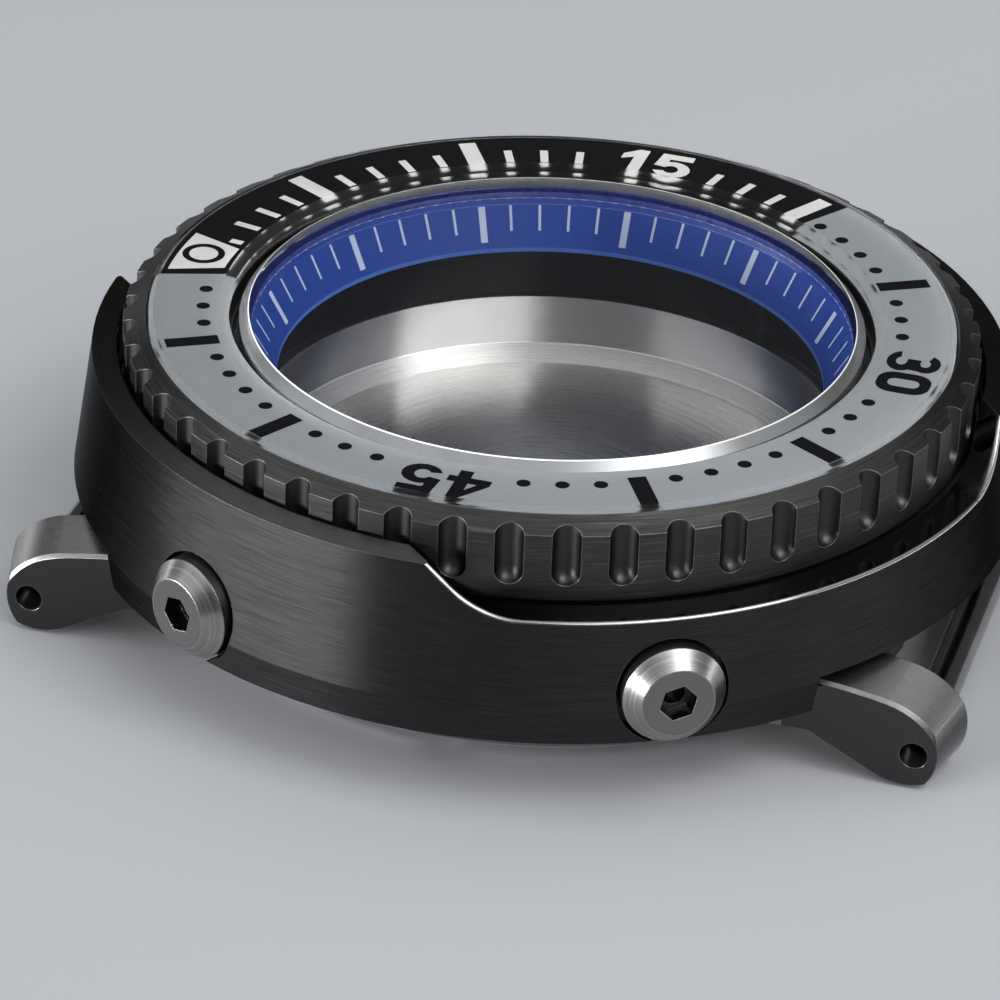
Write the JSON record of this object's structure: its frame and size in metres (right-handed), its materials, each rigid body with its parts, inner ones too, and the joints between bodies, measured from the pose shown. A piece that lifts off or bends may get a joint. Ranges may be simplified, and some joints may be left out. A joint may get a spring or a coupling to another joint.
{
  "type": "diver's watch case",
  "caption": "Round steel diver's watch case with a turning graduated bezel, screwed guard ring, screw-down crown and sprung strap bars; no movement, dial or strap.",
  "frame": {"origin": "on the case axis, on the flat of the case back", "axes": "+Z to the crystal, +Y to 12 o'clock, +X to 3 o'clock"},
  "size_m": [0.0457, 0.0462, 0.0139],
  "materials": {
    "case_steel": "brushed, blasted tops, polished lug sides",
    "back_steel": "turned satin",
    "seal": "matt",
    "crystal": "polished",
    "chapter_ring": "satin",
    "bezel_steel": "brushed round, blasted grooves",
    "insert": "polished over a printed scale",
    "adhesive": "matt",
    "shroud_steel": "satin with polished ledges",
    "screw_steel": "turned",
    "crown_steel": "satin",
    "spring_steel": "polished"
  },
  "bodies": {
    "case": {"mid_case": "case_steel", "case_back": "back_steel", "case_back_gasket": "seal", "crystal": "crystal", "crystal_gasket": "seal", "chapter_ring": "chapter_ring", "bezel_gasket": "seal", "click_spring": "spring_steel", "shroud": "shroud_steel", "shroud_screws": "screw_steel", "crown_tube": "crown_steel"},
    "bezel": {"bezel_ring": "bezel_steel", "bezel_insert": "insert", "insert_adhesive": "adhesive"},
    "click": {"click_plunger": "spring_steel"},
    "crown_post": {"crown_post": "crown_steel", "crown_spring": "spring_steel"},
    "crown": {"crown_cap": "crown_steel", "crown_gasket": "seal", "crown_retainer": "crown_steel"},
    "spring_bar_12": {"spring_bar_12_sleeve": "spring_steel", "spring_bar_12_spring": "spring_steel"},
    "spring_bar_12_pin_left": {"spring_bar_12_pin_left": "spring_steel"},
    "spring_bar_12_pin_right": {"spring_bar_12_pin_right": "spring_steel"},
    "spring_bar_6": {"spring_bar_6_sleeve": "spring_steel", "spring_bar_6_spring": "spring_steel"},
    "spring_bar_6_pin_left": {"spring_bar_6_pin_left": "spring_steel"},
    "spring_bar_6_pin_right": {"spring_bar_6_pin_right": "spring_steel"}
  },
  "joints": [
    {"name": "bezel_turn", "type": "hinge", "parent": "case", "child": "bezel", "pos_m": [0, 0, 0.0115], "axis": [0, 0, 1], "continuous": true},
    {"name": "click_slide", "type": "slide", "parent": "case", "child": "click", "axis": [0, 0, -1], "range_m": [0, 0.00035], "stiffness_N_per_m": 600, "springref_m": -0.001, "deforming": ["click_spring"]},
    {"name": "crown_turn", "type": "hinge", "parent": "case", "child": "crown_post", "pos_m": [0.01559, -0.009, 0.0063], "axis": [0.866, -0.5, 0], "range_deg": [0, 1080]},
    {"name": "crown_lift", "type": "slide", "parent": "crown_post", "child": "crown", "axis": [0.866, -0.5, 0], "range_m": [0, 0.00105], "deforming": ["crown_spring"]},
    {"name": "spring_bar_12_turn", "type": "hinge", "parent": "case", "child": "spring_bar_12", "pos_m": [0, 0.0212, 0.00179], "axis": [1, 0, 0], "continuous": true},
    {"name": "spring_bar_12_pin_left_slide", "type": "slide", "parent": "case", "child": "spring_bar_12_pin_left", "axis": [1, 0, 0], "range_m": [0, 0.0013], "stiffness_N_per_m": 1200, "springref_m": -0.0015, "deforming": ["spring_bar_12_spring"]},
    {"name": "spring_bar_12_pin_right_slide", "type": "slide", "parent": "case", "child": "spring_bar_12_pin_right", "axis": [-1, 0, 0], "range_m": [0, 0.0013], "stiffness_N_per_m": 1200, "springref_m": -0.0015, "deforming": ["spring_bar_12_spring"]},
    {"name": "spring_bar_6_turn", "type": "hinge", "parent": "case", "child": "spring_bar_6", "pos_m": [0, -0.0212, 0.00179], "axis": [1, 0, 0], "continuous": true},
    {"name": "spring_bar_6_pin_left_slide", "type": "slide", "parent": "case", "child": "spring_bar_6_pin_left", "axis": [1, 0, 0], "range_m": [0, 0.0013], "stiffness_N_per_m": 1200, "springref_m": -0.0015, "deforming": ["spring_bar_6_spring"]},
    {"name": "spring_bar_6_pin_right_slide", "type": "slide", "parent": "case", "child": "spring_bar_6_pin_right", "axis": [-1, 0, 0], "range_m": [0, 0.0013], "stiffness_N_per_m": 1200, "springref_m": -0.0015, "deforming": ["spring_bar_6_spring"]}
  ],
  "couplings": [
    {"joint": "crown_turn", "follows": "crown_lift", "rad_per_m": 17952}
  ]
}
